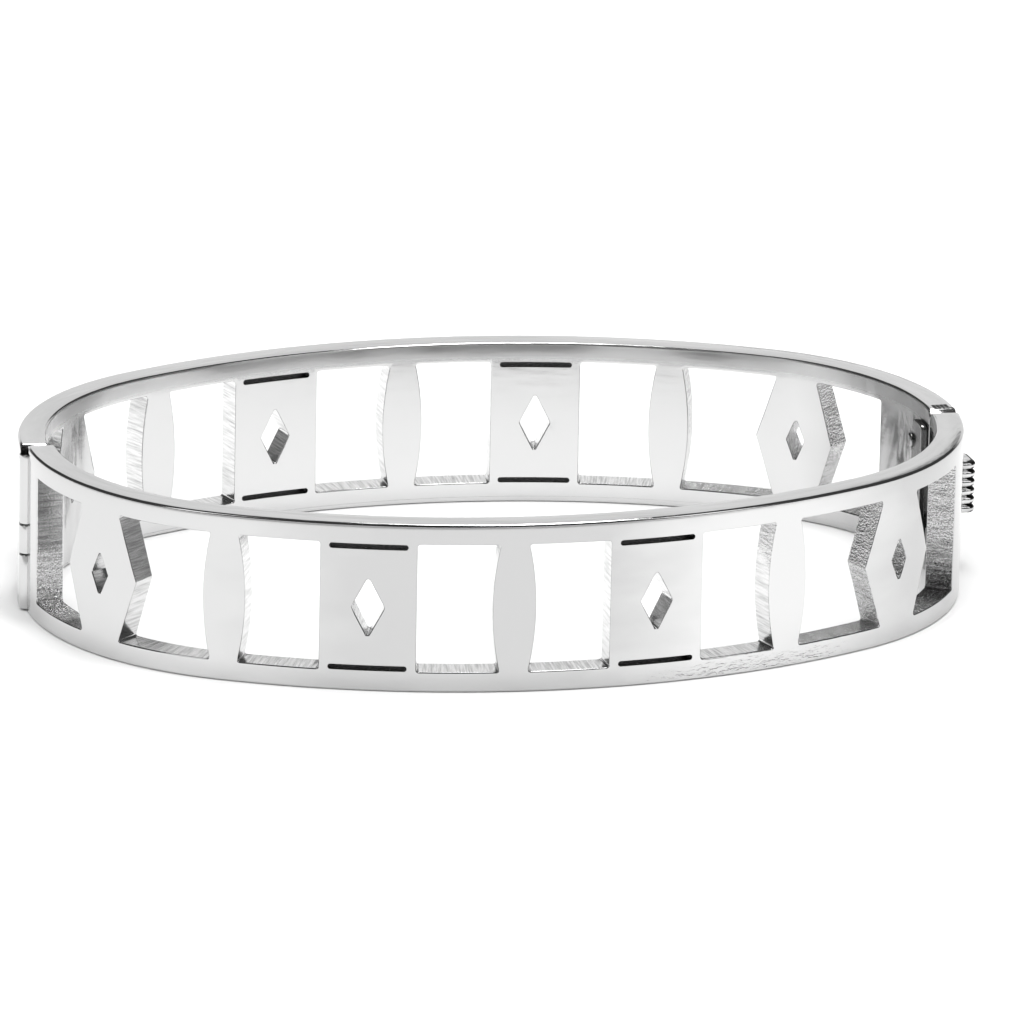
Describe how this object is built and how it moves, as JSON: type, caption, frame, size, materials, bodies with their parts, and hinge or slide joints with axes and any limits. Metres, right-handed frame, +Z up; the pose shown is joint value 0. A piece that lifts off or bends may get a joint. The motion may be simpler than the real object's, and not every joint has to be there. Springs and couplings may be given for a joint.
{
  "type": "nameplate bracelet",
  "caption": "Rigid oval bangle in two pierced steel halves, hinged on one side, with a spring catch, thumb pad and riveted plate on the other",
  "frame": {"origin": "centre of the bounding box on the lower rim, which rests on the surface", "axes": "+X points to the clasp along the oval's long way, +Y to the back half, +Z up along the arm's direction"},
  "size_m": [0.0658, 0.0432, 0.0115],
  "materials": {
    "band": "polished stainless steel, cut walls matt from the laser",
    "pin": "drawn stainless wire",
    "plate": "rolled spring steel, satin",
    "pad": "machined ribs, lightly polished",
    "rivets": "drawn stainless wire, darkened in the joint"
  },
  "bodies": {
    "back": {"back_half": "band", "hinge_pin": "pin", "clasp_plate": "plate", "clasp_rivet_low": "rivets", "clasp_rivet_mid": "rivets", "clasp_rivet_high": "rivets"},
    "front": {"front_half": "band"},
    "catch": {"clasp_tongue": "plate", "thumb_pad": "pad"}
  },
  "joints": [
    {"name": "front_hinge", "type": "hinge", "parent": "back", "child": "front", "pos_m": [-0.03231, 0, 0.00575], "axis": [0, 0, -1], "range_deg": [0, 55]},
    {"name": "catch_flex", "type": "hinge", "parent": "back", "child": "catch", "pos_m": [0.02998, 0.00311, 0.00575], "axis": [0, 0, -1], "range_deg": [0, 5], "stiffness_Nm_per_rad": 0.13}
  ]
}
